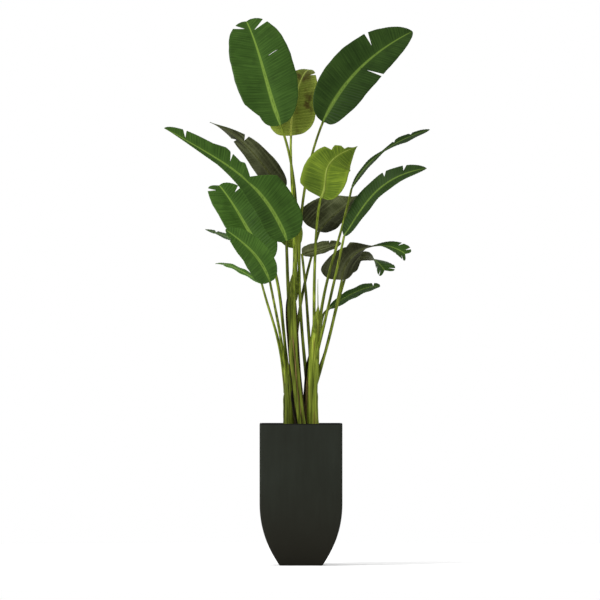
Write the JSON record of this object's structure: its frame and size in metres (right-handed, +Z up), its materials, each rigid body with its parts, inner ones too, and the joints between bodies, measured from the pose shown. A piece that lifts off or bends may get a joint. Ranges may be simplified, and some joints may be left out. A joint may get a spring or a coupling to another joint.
{
  "type": "artificial travelers palm in planter",
  "caption": "Artificial travelers palm with leaning stems and long stalks that carry broad, torn paddle leaves, standing in a dark square planter that curves in at its foot.",
  "frame": {"origin": "middle of the planter's flat underside", "axes": "+Z up along the plant, -Y the side that the picture shows, +X to the right in it"},
  "size_m": [1.1194, 0.581, 2.3025],
  "materials": {
    "planter": "satin",
    "filling": "matte",
    "stem": "satin",
    "stalk": "satin",
    "mature_leaf": "satin",
    "fresh_leaf": "satin"
  },
  "bodies": {
    "root": {"planter": "planter", "planter_filling": "filling", "stem_left": "stem", "stem_middle": "stem", "stem_right": "stem", "stalk_top_left": "stalk", "leaf_top_left": "mature_leaf", "stalk_top_right": "stalk", "leaf_top_right": "mature_leaf", "stalk_top_back": "stalk", "leaf_top_back": "fresh_leaf", "stalk_upper_left": "stalk", "leaf_upper_left": "mature_leaf", "stalk_left_long": "stalk", "leaf_left_long": "mature_leaf", "stalk_left_middle": "stalk", "leaf_left_middle": "mature_leaf", "stalk_left_front": "stalk", "leaf_left_front": "mature_leaf", "stalk_left_back": "stalk", "leaf_left_back": "mature_leaf", "stalk_left_low": "stalk", "leaf_left_low": "mature_leaf", "stalk_right_upright": "stalk", "leaf_right_upright": "fresh_leaf", "stalk_right_dark": "stalk", "leaf_right_dark": "mature_leaf", "stalk_right_high": "stalk", "leaf_right_high": "mature_leaf", "stalk_right_middle": "stalk", "leaf_right_middle": "mature_leaf", "stalk_middle_dark": "stalk", "leaf_middle_dark": "mature_leaf", "stalk_right_drooping": "stalk", "leaf_right_drooping": "mature_leaf", "stalk_right_hanging": "stalk", "leaf_right_hanging": "mature_leaf", "stalk_right_low": "stalk", "leaf_right_low": "mature_leaf", "stalk_middle_back": "stalk", "leaf_middle_back": "fresh_leaf", "young_leaf_spear": "fresh_leaf"}
  },
  "joints": []
}
